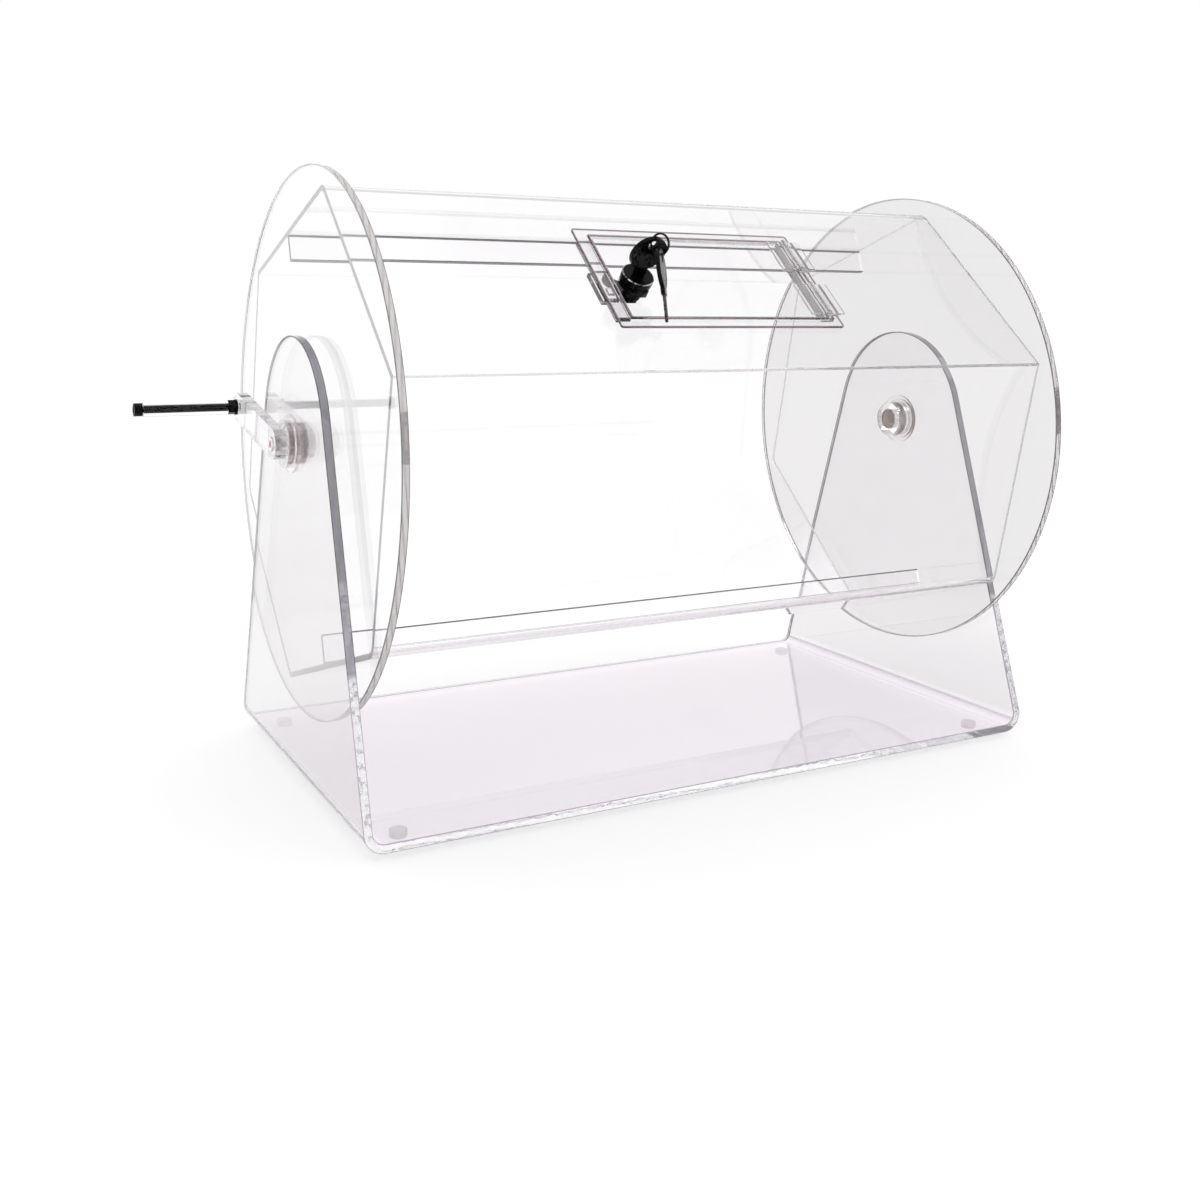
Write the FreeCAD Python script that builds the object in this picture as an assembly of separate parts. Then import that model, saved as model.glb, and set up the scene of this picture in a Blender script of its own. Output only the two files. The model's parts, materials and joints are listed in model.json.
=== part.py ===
"""Clear raffle drum on a bent stand, with a hand crank and a lockable ticket door.

Frame: X runs along the axle from the crank side to the far side, Y to the rear and Z up. The origin
is on the ground, under the middle of the whole object. Every length is in millimetres.
"""
import FreeCAD, Part
import math
import os
from FreeCAD import Placement, Rotation, Vector

# --- Driving dimensions ------------------------------------------------------------------------
# Stand: one sheet, bent up at both ends into tapered uprights with round tops
stand_length = 565.0
stand_depth = 310.0
stand_sheet = 6.0
stand_bend_outside = 15.0
upright_top_radius = 77.0
foot_height = 5.0
foot_diameter = 12.0
foot_edge_round = 1.0
foot_inset_x = 32.0
foot_inset_y = 25.0

# Drum: two round discs with a six-sided body of three bent sheets between them
total_height = 450.0
disc_diameter = 395.0
disc_sheet = 5.0
disc_side_gap = 5.0
drum_corner_radius = 186.5
drum_sheet = 4.0
drum_bend_outside = 12.0
drum_tilt = 12.2
side_step = 60.0  # degrees from one of the six corners to the next
baffle_height = 20.0
baffle_sheet = 4.0

# Axle, its bearings and the collar that keeps the drum between the uprights
axle_diameter = 30.0
axle_bore = 18.0
bearing_clearance = 0.1
bearing_ring_diameter = 42.5
bearing_ring_sheet = 2.0
collar_diameter = 35.0
collar_length = 2.5
axle_end_float = 0.2

# Crank
hub_sheet = 4.3
crank_sheet = 8.0
crank_width = 22.0
crank_radius = 105.0
crank_angle = 10.5
bolt_diameter = 6.0
bolt_head_diameter = 10.0
bolt_head_height = 6.0
hex_socket = 5.0
hex_socket_depth = 3.0
counterbore_diameter = 11.0
counterbore_depth = 5.0
crank_screw_grip = 16.0
axle_plug_length = 22.0
nut_width = 10.0
nut_height = 5.5
washer_diameter = 12.0
washer_sheet = 1.5
grip_diameter = 11.5
grip_bore = 6.2
grip_length = 63.0
grip_end_float = 0.4
bolt_end_stickout = 1.0

# Ticket door in the upper front side, and the thin surround that frames it
opening_length = 165.0
opening_width = 85.0
opening_corner_radius = 2.0
door_sheet = 3.0
door_overlap_end = 2.5
door_overlap_side = 1.5
door_gap = 0.5
surround_length = 191.0
surround_width = 104.0
surround_sheet = 1.5
strip_width = 11.0
strip_sheet = 3.0
strip_end_inset = 1.5

# Hinges of the door
hinge_length = 32.5
hinge_centre = 24.5
hinge_leaf_width = 15.0
hinge_leaf_sheet = 1.5
hinge_knuckle_radius = 2.2
hinge_pin_radius = 0.8
hinge_lift = 0.2
hinge_play = 0.1
hinge_gap = 0.3

# Cam lock, its keeper and its keys
lock_inset = 19.5
lock_drop = 5.0
lock_head_diameter = 24.0
lock_head_height = 5.2
lock_head_round = 1.2
lock_body_diameter = 16.0
lock_body_depth = 13.0
lock_hole_clearance = 0.2
lock_washer_diameter = 22.0
lock_washer_sheet = 0.8
lock_nut_width = 22.0
lock_nut_height = 5.0
plug_diameter = 10.8
plug_clearance = 0.1
plug_tail_diameter = 8.5
plug_tail_stickout = 1.5
cam_sheet = 2.0
cam_reach = 14.8
cam_tip_radius = 8.0
cam_angle = 152.0
cam_gap = 0.2
cam_nut_width = 13.0
cam_nut_height = 3.0
keeper_length = 30.0
keeper_edge = 13.0
keeper_stop_width = 6.0
keeper_stop_length = 5.0
keeper_stop_gap = 0.3
key_turn = 5.0
key_blade_sheet = 2.0
key_blade_width = 5.0
key_blade_length = 19.0
key_neck_width = 9.0
key_bow_diameter = 28.0
key_bow_sheet = 3.0
key_bow_rise = 18.8
key_hole_diameter = 7.5
key_hole_edge = 2.1
key_slot_clearance = 0.1
key_standoff = 0.5
ring_radius = 7.3
ring_wire = 1.4
ring_turn = 24.0
ring_rise = 8.0
ring_seat_gap = 1.4
spare_key_seat_gap = 1.4
spare_key_turn = 50.0
spare_key_lean = 13.0

# --- Places worked out from the driving dimensions ----------------------------------------------
tolerance = 0.01
axle_height = total_height - disc_diameter / 2
half_length = stand_length / 2
half_depth = stand_depth / 2
upright_inside = half_length - stand_sheet
disc_outside = upright_inside - disc_side_gap
disc_inside = disc_outside - disc_sheet
half_side = math.radians(side_step / 2)
drum_apothem = drum_corner_radius * math.cos(half_side)
ring_outside = half_length + bearing_ring_sheet
hub_inside = ring_outside + axle_end_float
arm_inside = hub_inside + hub_sheet
arm_outside = arm_inside + crank_sheet
washer_outside = arm_outside + washer_sheet
nut_outside = washer_outside + nut_height
grip_inside = nut_outside + grip_end_float
grip_outside = grip_inside + grip_length
head_inside = grip_outside + grip_end_float
head_outside = head_inside + bolt_head_height
collar_outside = hub_inside + collar_length
door_length = opening_length + 2 * door_overlap_end
door_width = opening_width + 2 * door_overlap_side
hinge_axis_s = door_length / 2 + door_gap / 2
hinge_axis_n = door_sheet + hinge_lift + hinge_knuckle_radius
lock_s = -door_length / 2 + lock_inset
lock_head_top = door_sheet + lock_head_height
lock_body_bottom = door_sheet - lock_body_depth
cam_top = lock_body_bottom - cam_gap
cam_bottom = cam_top - cam_sheet
key_base_n = lock_head_top + key_standoff
strip_bottom = -drum_sheet - strip_sheet
tail_end = cam_bottom - cam_nut_height - plug_tail_stickout
key_hole_rise = key_bow_rise + key_bow_diameter / 2 - key_hole_edge - key_hole_diameter / 2
middle_x = (collar_outside - head_outside) / 2

X_AXIS = Vector(1, 0, 0)
Y_AXIS = Vector(0, 1, 0)
Z_AXIS = Vector(0, 0, 1)


# --- Placements ---------------------------------------------------------------------------------
def turned_about_x(degrees, centre=Vector()):
    return Placement(centre, Rotation(X_AXIS, degrees))


STAND = Placement(Vector(-middle_x, 0, 0), Rotation())
AXLE = STAND * Placement(Vector(0, 0, axle_height), Rotation())
DRUM = AXLE * turned_about_x(drum_tilt)
CRANK = AXLE * turned_about_x(crank_angle)


def side_frame(angle):
    """Frame on the outside of one drum side: X along the axle, Y up the side, Z outwards."""
    return DRUM * turned_about_x(angle) * Placement(Vector(0, 0, drum_apothem), Rotation())


DOOR = side_frame(side_step / 2)
LOCK = DOOR * Placement(Vector(lock_s, -lock_drop, 0), Rotation())
KEY = LOCK * Placement(Vector(0, 0, key_base_n), Rotation(Z_AXIS, key_turn))


# --- Small builders -----------------------------------------------------------------------------
def block(x, y, z):
    """A box between two limits on each axis."""
    low = Vector(x[0], y[0], z[0])
    return Part.makeBox(x[1] - x[0], y[1] - y[0], z[1] - z[0], low)


def centred(length, width, z):
    return block((-length / 2, length / 2), (-width / 2, width / 2), z)


def bar(radius, x, y=0.0, z=0.0):
    """A round bar along X."""
    return Part.makeCylinder(radius, x[1] - x[0], Vector(x[0], y, z), X_AXIS)


def tube(outer, inner, x, y=0.0, z=0.0):
    return bar(outer, x, y, z).cut(bar(inner, x, y, z))


def post(radius, z, x=0.0, y=0.0):
    """A round bar along Z."""
    return Part.makeCylinder(radius, z[1] - z[0], Vector(x, y, z[0]), Z_AXIS)


def hexagon(width, height):
    """A hexagon bar along Z, given its width across flats, standing on z = 0."""
    reach = width / 2 / math.cos(math.pi / 6)
    turns = [i * math.pi / 3 for i in range(7)]
    outline = Part.makePolygon([Vector(reach * math.cos(a), reach * math.sin(a), 0) for a in turns])
    return Part.Face(outline).extrude(Vector(0, 0, height))


def along_x(shape, x):
    """Turns a shape that was drawn along Z so that it runs along +X from x."""
    return moved(shape, Placement(Vector(x, 0, 0), Rotation(Y_AXIS, 90)))


def moved(shape, placement):
    result = shape.copy()
    result.Placement = placement * result.Placement
    return result


def mirrored_x(shape):
    return shape.mirror(Vector(), X_AXIS)


def edges_through(shape, points, direction):
    """The straight edges along a direction that pass through the given points."""
    found = []
    for edge in shape.Edges:
        run = edge.Vertexes[-1].Point - edge.Vertexes[0].Point
        straight = edge.Curve.TypeId == "Part::GeomLine"
        if not straight or run.Length < tolerance or abs(run.normalize().dot(direction)) < 0.999:
            continue
        middle = edge.CenterOfMass
        for point in points:
            away = middle - point
            if (away - direction * away.dot(direction)).Length < tolerance:
                found.append(edge)
    return found


def rims_at(shape, z):
    """The round edges that lie at one height."""
    circles = [edge for edge in shape.Edges if edge.Curve.TypeId == "Part::GeomCircle"]
    return [edge for edge in circles if abs(edge.CenterOfMass.z - z) < tolerance]


def rounded_plate(length, width, z, radius):
    plate = centred(length, width, z)
    corners = [Vector(sx * length / 2, sy * width / 2, 0) for sx in (-1, 1) for sy in (-1, 1)]
    return plate.makeFillet(radius, edges_through(plate, corners, Z_AXIS))


# --- Stand --------------------------------------------------------------------------------------
def upright_outline():
    """Side view of the stand: straight to the top of the bend, then tapered up to a round top."""
    shoulder = foot_height + stand_bend_outside
    drop = shoulder - axle_height
    lean = math.atan2(drop, half_depth) + math.acos(upright_top_radius / math.hypot(drop, half_depth))
    touch_y = upright_top_radius * math.cos(lean)
    touch_z = axle_height + upright_top_radius * math.sin(lean)
    rear, front = Vector(0, touch_y, touch_z), Vector(0, -touch_y, touch_z)
    top = Vector(0, 0, axle_height + upright_top_radius)
    sides = Part.makePolygon(
        [
            front,
            Vector(0, -half_depth, shoulder),
            Vector(0, -half_depth, foot_height),
            Vector(0, half_depth, foot_height),
            Vector(0, half_depth, shoulder),
            rear,
        ]
    )
    arch = Part.Arc(rear, top, front).toShape()
    return Part.Face(Part.Wire(sides.Edges + [arch]))


def make_stand_sheet():
    top = axle_height + upright_top_radius
    outside = block((-half_length, half_length), (-half_depth, half_depth), (foot_height, top))
    floor = foot_height + stand_sheet
    inside = block((-upright_inside, upright_inside), (-half_depth, half_depth), (floor, top))
    corners = [Vector(side * half_length, 0, foot_height) for side in (-1, 1)]
    outside = outside.makeFillet(stand_bend_outside, edges_through(outside, corners, Y_AXIS))
    corners = [Vector(side * upright_inside, 0, floor) for side in (-1, 1)]
    bend_inside = stand_bend_outside - stand_sheet
    inside = inside.makeFillet(bend_inside, edges_through(inside, corners, Y_AXIS))
    outline = upright_outline().extrude(Vector(stand_length, 0, 0))
    outline.translate(Vector(-half_length, 0, 0))
    hole = bar(axle_diameter / 2 + bearing_clearance, (-half_length, half_length), 0, axle_height)
    return outside.cut(inside).common(outline).cut(hole)


def make_foot():
    foot = post(foot_diameter / 2, (0, foot_height))
    return foot.makeFillet(foot_edge_round, rims_at(foot, 0))


def make_bearing_ring():
    hole = axle_diameter / 2 + bearing_clearance
    return tube(bearing_ring_diameter / 2, hole, (half_length, ring_outside))


# --- Drum ---------------------------------------------------------------------------------------
def corner(angle, radius):
    """A corner of the six-sided body, at an angle from the top towards the front."""
    turn = math.radians(angle)
    return Vector(0, -radius * math.sin(turn), radius * math.cos(turn))


def make_bent_sheet(angle):
    """Two drum sides in one sheet, bent along the corner at this angle and mitred at its long edges."""
    inner_radius = drum_corner_radius - drum_sheet / math.cos(half_side)
    angles = (angle - side_step, angle, angle + side_step)
    loop = [corner(a, drum_corner_radius) for a in angles]
    loop += [corner(a, inner_radius) for a in reversed(angles)]
    sheet = Part.Face(Part.makePolygon(loop + loop[:1])).extrude(Vector(2 * disc_inside, 0, 0))
    sheet.translate(Vector(-disc_inside, 0, 0))
    outer_bend = edges_through(sheet, [corner(angle, drum_corner_radius)], X_AXIS)
    sheet = sheet.makeFillet(drum_bend_outside, outer_bend)
    inner_bend = edges_through(sheet, [corner(angle, inner_radius)], X_AXIS)
    return sheet.makeFillet(drum_bend_outside - drum_sheet, inner_bend)


def make_upper_sheet():
    through = (-2 * drum_sheet, drum_sheet)
    hole = rounded_plate(opening_length, opening_width, through, opening_corner_radius)
    in_drum = turned_about_x(side_step / 2) * Placement(Vector(0, 0, drum_apothem), Rotation())
    return make_bent_sheet(0).cut(moved(hole, in_drum))


def make_disc():
    return tube(disc_diameter / 2, axle_diameter / 2, (disc_inside, disc_outside))


def make_baffle():
    return centred(2 * disc_inside, baffle_sheet, (-drum_sheet - baffle_height, -drum_sheet))


def make_axle_tube(end):
    return tube(axle_diameter / 2, axle_bore / 2, (disc_inside, end))


def make_collar():
    return tube(collar_diameter / 2, axle_diameter / 2, (hub_inside, collar_outside))


def make_axle_plug():
    plug = bar(axle_bore / 2, (arm_inside - axle_plug_length, arm_inside))
    return plug.cut(bar(bolt_diameter / 2, (arm_inside - crank_screw_grip, arm_inside)))


# --- Crank, drawn on the +X side and mirrored to the -X side ------------------------------------
def make_hub():
    return tube(collar_diameter / 2, axle_diameter / 2, (hub_inside, arm_inside))


def make_crank_arm():
    x = (arm_inside, arm_outside)
    ends = bar(crank_width / 2, x).fuse(bar(crank_width / 2, x, crank_radius))
    arm = ends.fuse(block(x, (0, crank_radius), (-crank_width / 2, crank_width / 2))).removeSplitter()
    arm = arm.cut(bar(bolt_diameter / 2, x)).cut(bar(bolt_diameter / 2, x, crank_radius))
    return arm.cut(bar(counterbore_diameter / 2, (arm_outside - counterbore_depth, arm_outside)))


def socket_screw(x_seat, x_tip):
    """A socket-head screw along X with its head outside x_seat."""
    head = bar(bolt_head_diameter / 2, (x_seat, x_seat + bolt_head_height))
    socket = along_x(hexagon(hex_socket, hex_socket_depth), x_seat + bolt_head_height - hex_socket_depth)
    return head.fuse(bar(bolt_diameter / 2, (x_tip, x_seat))).removeSplitter().cut(socket)


def make_crank_screw():
    return socket_screw(arm_outside - counterbore_depth, arm_inside - crank_screw_grip)


def make_handle_bolt():
    return socket_screw(head_inside, arm_inside - bolt_end_stickout)


def make_handle_washer():
    return tube(washer_diameter / 2, bolt_diameter / 2, (arm_outside, washer_outside))


def make_handle_nut():
    nut = along_x(hexagon(nut_width, nut_height), washer_outside)
    return nut.cut(bar(bolt_diameter / 2, (washer_outside, nut_outside)))


def make_grip():
    return tube(grip_diameter / 2, grip_bore / 2, (grip_inside, grip_outside))


# --- Door, in its own frame: X along the axle, Y up the side, Z outwards ------------------------
def make_surround():
    window = centred(door_length + 2 * door_gap, door_width + 2 * door_gap, (0, surround_sheet))
    frame = rounded_plate(surround_length, surround_width, (0, surround_sheet), opening_corner_radius)
    return frame.cut(window)


def make_strip():
    """Strip under the drum side, along one end of the opening, drawn at its +X end."""
    x = (opening_length / 2, opening_length / 2 + strip_width)
    half_width = opening_width / 2 - strip_end_inset
    return block(x, (-half_width, half_width), (strip_bottom, -drum_sheet))


def make_keeper():
    """Block under the strip that the cam hooks behind, with a stop for the cam at its lower end."""
    right = -opening_length / 2
    x = (right - keeper_edge, right)
    y = (-lock_drop - keeper_length / 2, -lock_drop + keeper_length / 2)
    seat = block(x, y, (lock_body_bottom, strip_bottom))
    cam_edge = cam_reach * math.sin(math.radians(cam_angle)) - cam_tip_radius - lock_drop
    stop_y = (cam_edge - keeper_stop_gap - keeper_stop_width, cam_edge - keeper_stop_gap)
    stop = block((right - keeper_stop_length, right), stop_y, (cam_bottom, strip_bottom))
    return seat.fuse(stop).removeSplitter()


def make_door_panel():
    panel = centred(door_length, door_width, (0, door_sheet))
    hole_radius = lock_body_diameter / 2 + lock_hole_clearance
    return panel.cut(post(hole_radius, (0, door_sheet), lock_s, -lock_drop))


def make_hinge_pad(side):
    x = (door_length / 2 + door_gap, surround_length / 2)
    y = hinge_span(side)
    return block(x, y, (surround_sheet, door_sheet))


def hinge_span(side):
    middle = side * hinge_centre
    return (middle - hinge_length / 2, middle + hinge_length / 2)


def knuckle(radius, y):
    return Part.makeCylinder(radius, y[1] - y[0], Vector(hinge_axis_s, y[0], hinge_axis_n), Y_AXIS)


def hinge_thirds(side):
    low, high = hinge_span(side)
    third = (high - low) / 3
    return low, low + third, high - third, high


def make_leaf(side, towards, own):
    """One leaf with its knuckles. towards is +1 for the fixed leaf, -1 for the leaf on the door."""
    low, first, second, high = hinge_thirds(side)
    ends = sorted((hinge_axis_s, hinge_axis_s + towards * hinge_leaf_width))
    clear_radius = hinge_knuckle_radius + hinge_gap
    leaf = block(ends, (low, high), (door_sheet, door_sheet + hinge_leaf_sheet))
    under_knuckle = block(ends, (low, high), (door_sheet, door_sheet + hinge_lift))
    leaf = leaf.cut(under_knuckle.common(knuckle(clear_radius, (low, high))))
    spans = {"ends": ((low, first), (second, high)), "middle": ((first, second),)}
    other = "middle" if own == "ends" else "ends"
    for span in spans[own]:
        leaf = leaf.fuse(knuckle(hinge_knuckle_radius, span))
    for low_y, high_y in spans[other]:
        clear = (low_y - hinge_gap / 2, high_y + hinge_gap / 2)
        leaf = leaf.cut(knuckle(clear_radius, clear))
    return leaf.cut(knuckle(hinge_pin_radius + hinge_play, (low, high))).removeSplitter()


def make_hinge_pin(side):
    return knuckle(hinge_pin_radius, hinge_span(side))


# --- Lock and keys, in the lock's frame: Z along its axis, outwards -----------------------------
def make_lock_body():
    head = post(lock_head_diameter / 2, (door_sheet, lock_head_top))
    head = head.makeFillet(lock_head_round, rims_at(head, lock_head_top))
    body = head.fuse(post(lock_body_diameter / 2, (lock_body_bottom, door_sheet))).removeSplitter()
    return body.cut(post(plug_diameter / 2 + plug_clearance, (lock_body_bottom, lock_head_top)))


def make_lock_washer():
    z = (-lock_washer_sheet, 0)
    return post(lock_washer_diameter / 2, z).cut(post(lock_body_diameter / 2, z))


def make_lock_nut():
    nut = hexagon(lock_nut_width, lock_nut_height).cut(post(lock_body_diameter / 2, (0, lock_nut_height)))
    nut.translate(Vector(0, 0, -lock_washer_sheet - lock_nut_height))
    return nut


def make_lock_plug():
    tail = post(plug_tail_diameter / 2, (tail_end, cam_top))
    plug = post(plug_diameter / 2, (cam_top, lock_head_top)).fuse(tail).removeSplitter()
    length = key_blade_width + 2 * key_slot_clearance
    width = key_blade_sheet + 2 * key_slot_clearance
    slot = centred(length, width, (key_base_n - key_blade_length - key_standoff, lock_head_top))
    return plug.cut(moved(slot, Placement(Vector(), Rotation(Z_AXIS, key_turn))))


def make_cam():
    """Cam that points along +X before it is turned to cam_angle."""
    z = (cam_bottom, cam_top)
    arm = post(cam_tip_radius, z).fuse(post(cam_tip_radius, z, cam_reach))
    arm = arm.fuse(block((0, cam_reach), (-cam_tip_radius, cam_tip_radius), z)).removeSplitter()
    cam = arm.cut(post(plug_tail_diameter / 2, z))
    return moved(cam, Placement(Vector(), Rotation(Z_AXIS, cam_angle)))


def make_cam_nut():
    nut = hexagon(cam_nut_width, cam_nut_height).cut(post(plug_tail_diameter / 2, (0, cam_nut_height)))
    nut.translate(Vector(0, 0, cam_bottom - cam_nut_height))
    return nut


def make_key_bow():
    """Plastic head of a key, in the XZ plane, above the end of the blade at z = 0."""
    half = key_bow_sheet / 2
    bow = Part.makeCylinder(key_bow_diameter / 2, key_bow_sheet, Vector(0, -half, key_bow_rise), Y_AXIS)
    neck = centred(key_neck_width, key_bow_sheet, (0, key_bow_rise))
    hole = Part.makeCylinder(key_hole_diameter / 2, key_bow_sheet, Vector(0, -half, key_hole_rise), Y_AXIS)
    return bow.fuse(neck).removeSplitter().cut(hole)


def make_key_blade():
    """Flat steel blade with a pointed tip, hanging below z = 0."""
    half = key_blade_width / 2
    outline = [(-half, 0), (half, 0), (half, half - key_blade_length), (0, -key_blade_length)]
    outline += [(-half, half - key_blade_length), (-half, 0)]
    wire = Part.makePolygon([Vector(x, -key_blade_sheet / 2, z) for x, z in outline])
    return Part.Face(wire).extrude(Vector(0, key_blade_sheet, 0))


def ring_frame():
    """Centre of the key ring, which stands upright and rests in the hole of the key in the lock."""
    hole_bottom = key_hole_rise - key_hole_diameter / 2
    seat = KEY.multVec(Vector(0, 0, hole_bottom + ring_seat_gap + ring_wire / 2))
    rise = math.radians(ring_rise)
    turn = Rotation(Z_AXIS, ring_turn)
    towards_front = turn.multVec(Vector(0, -math.cos(rise), math.sin(rise)))
    return Placement(seat + towards_front * ring_radius, turn * Rotation(Y_AXIS, 90))


def make_key_ring():
    return Part.makeTorus(ring_radius, ring_wire / 2)


def spare_key_frame():
    """The spare key hangs by its hole from the lowest point of the ring and leans on the door side."""
    low = ring_frame().Base - Vector(0, 0, ring_radius)
    hole_top = key_hole_rise + key_hole_diameter / 2
    drop = hole_top - spare_key_seat_gap - ring_wire / 2
    lean = Rotation(X_AXIS, -spare_key_lean)
    return Placement(low - lean.multVec(Vector(0, 0, drop)), lean * Rotation(Z_AXIS, spare_key_turn))


# --- Every piece, by name -----------------------------------------------------------------------
def make_stand_pieces():
    pieces = {"stand_sheet": moved(make_stand_sheet(), STAND)}
    for side_x, hand in ((-1, "left"), (1, "right")):
        for side_y, end in ((-1, "front"), (1, "rear")):
            x = side_x * (half_length - foot_inset_x)
            y = side_y * (half_depth - foot_inset_y)
            place = STAND * Placement(Vector(x, y, 0), Rotation())
            pieces[f"foot_{end}_{hand}"] = moved(make_foot(), place)
    pieces["bearing_ring_right"] = moved(make_bearing_ring(), AXLE)
    pieces["bearing_ring_left"] = moved(mirrored_x(make_bearing_ring()), AXLE)
    return pieces


def make_drum_pieces():
    return {
        "left_disc": moved(mirrored_x(make_disc()), DRUM),
        "right_disc": moved(make_disc(), DRUM),
        "upper_sheet": moved(make_upper_sheet(), DRUM),
        "front_sheet": moved(make_bent_sheet(2 * side_step), DRUM),
        "rear_sheet": moved(make_bent_sheet(4 * side_step), DRUM),
        "baffle_upper": moved(make_baffle(), side_frame(-side_step / 2)),
        "baffle_lower": moved(make_baffle(), side_frame(2.5 * side_step)),
        "axle_tube_left": moved(mirrored_x(make_axle_tube(arm_inside)), DRUM),
        "axle_tube_right": moved(make_axle_tube(collar_outside), DRUM),
        "retaining_collar": moved(make_collar(), DRUM),
        "axle_plug": moved(mirrored_x(make_axle_plug()), DRUM),
    }


def make_crank_pieces():
    makers = {
        "crank_hub": make_hub,
        "crank_arm": make_crank_arm,
        "crank_screw": make_crank_screw,
    }
    at_handle = {
        "handle_bolt": make_handle_bolt,
        "handle_washer": make_handle_washer,
        "handle_nut": make_handle_nut,
        "handle_grip": make_grip,
    }
    handle = CRANK * Placement(Vector(0, crank_radius, 0), Rotation())
    pieces = {name: moved(mirrored_x(make()), CRANK) for name, make in makers.items()}
    pieces.update({name: moved(mirrored_x(make()), handle) for name, make in at_handle.items()})
    return pieces


def make_door_pieces():
    pieces = {
        "door_surround": moved(make_surround(), DOOR),
        "hinge_strip": moved(make_strip(), DOOR),
        "latch_strip": moved(mirrored_x(make_strip()), DOOR),
        "latch_keeper": moved(make_keeper(), DOOR),
        "door_panel": moved(make_door_panel(), DOOR),
    }
    for side, name in ((1, "upper"), (-1, "lower")):
        pieces[f"hinge_pad_{name}"] = moved(make_hinge_pad(side), DOOR)
        pieces[f"hinge_fixed_leaf_{name}"] = moved(make_leaf(side, 1, "middle"), DOOR)
        pieces[f"hinge_door_leaf_{name}"] = moved(make_leaf(side, -1, "ends"), DOOR)
        pieces[f"hinge_pin_{name}"] = moved(make_hinge_pin(side), DOOR)
    return pieces


def make_lock_pieces():
    return {
        "lock_body": moved(make_lock_body(), LOCK),
        "lock_washer": moved(make_lock_washer(), LOCK),
        "lock_nut": moved(make_lock_nut(), LOCK),
        "lock_plug": moved(make_lock_plug(), LOCK),
        "lock_cam": moved(make_cam(), LOCK),
        "cam_nut": moved(make_cam_nut(), LOCK),
        "key_bow": moved(make_key_bow(), KEY),
        "key_blade": moved(make_key_blade(), KEY),
        "key_ring": moved(make_key_ring(), ring_frame()),
        "spare_key_bow": moved(make_key_bow(), spare_key_frame()),
        "spare_key_blade": moved(make_key_blade(), spare_key_frame()),
    }


def main():
    os.makedirs("parts", exist_ok=True)
    pieces = make_stand_pieces() | make_drum_pieces() | make_crank_pieces()
    pieces |= make_door_pieces() | make_lock_pieces()
    for name, shape in pieces.items():
        shape.exportStep(f"parts/{name}.step")
        box = shape.BoundBox
        sides = f"{box.XLength:.1f} by {box.YLength:.1f} by {box.ZLength:.1f} mm"
        print(f"{name}: {len(shape.Solids)} solid, {sides}, {shape.Volume:.1f} mm3, valid {shape.isValid()}")


main()
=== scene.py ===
"""Clear raffle drum on a bent stand: finishes, fine pieces, light and camera. Lengths are in metres."""
import json
import math

import bpy
import numpy as np
from mathutils import Matrix, Vector


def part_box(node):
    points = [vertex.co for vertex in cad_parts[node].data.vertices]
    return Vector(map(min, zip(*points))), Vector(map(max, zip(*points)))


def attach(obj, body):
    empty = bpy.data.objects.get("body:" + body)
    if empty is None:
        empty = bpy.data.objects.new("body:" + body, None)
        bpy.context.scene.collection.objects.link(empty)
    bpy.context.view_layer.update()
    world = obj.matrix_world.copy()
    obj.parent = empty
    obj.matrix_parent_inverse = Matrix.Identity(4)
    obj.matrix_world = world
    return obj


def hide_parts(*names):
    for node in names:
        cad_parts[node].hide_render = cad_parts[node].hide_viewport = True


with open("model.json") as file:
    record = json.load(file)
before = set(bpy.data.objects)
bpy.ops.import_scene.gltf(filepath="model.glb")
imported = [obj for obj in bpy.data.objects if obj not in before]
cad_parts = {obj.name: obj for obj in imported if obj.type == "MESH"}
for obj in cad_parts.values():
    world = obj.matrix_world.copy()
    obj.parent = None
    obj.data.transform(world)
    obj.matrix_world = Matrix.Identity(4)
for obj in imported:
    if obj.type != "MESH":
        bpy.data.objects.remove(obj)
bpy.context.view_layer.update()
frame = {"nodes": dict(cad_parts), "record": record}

# --- Camera: where it stands and points, and its lens and sensor in millimetres -------------------
camera_place = Vector((-0.49645, -0.93084, 0.35203))
camera_yaw = math.radians(28.155)
camera_pitch = math.radians(-4.909)
camera_roll = math.radians(0.462)
camera_lens = 39.70
camera_sensor = 36.0
camera_shift = (0.0095, -0.1502)

# --- Light: what the surroundings and the floor send to each kind of ray --------------------------
white = (1.0, 1.0, 1.0, 1.0)
world_level = 0.95
studio_level = 1.05
studio_dark = 0.72
studio_dark_height = (0.40, 0.60)
studio_ceiling = 1.30
studio_ceiling_height = (0.90, 0.95)
studio_window = 3.0
window_width = 0.985
window_border = 0.01
window_left = (-0.45, -0.45, 0.77)
window_right = (0.72, -0.20, 0.66)
floor_paper = (0.50, 0.50, 0.50, 1.0)
floor_roughness = 0.9
floor_glow = 0.62
# Painted light: for glass and gloss rays the floor glows brighter near the object than far off.
floor_glow_through = (0.66, 0.575)
floor_glow_reach = (0.35, 0.90)
floor_size = 8.0
clear_bounces = 256

# --- Noise: how many finer waves lie on the coarse one ---------------------------------------------
soft_detail = 2.0
grain_detail = 3.0
ragged_detail = 4.0

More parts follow.
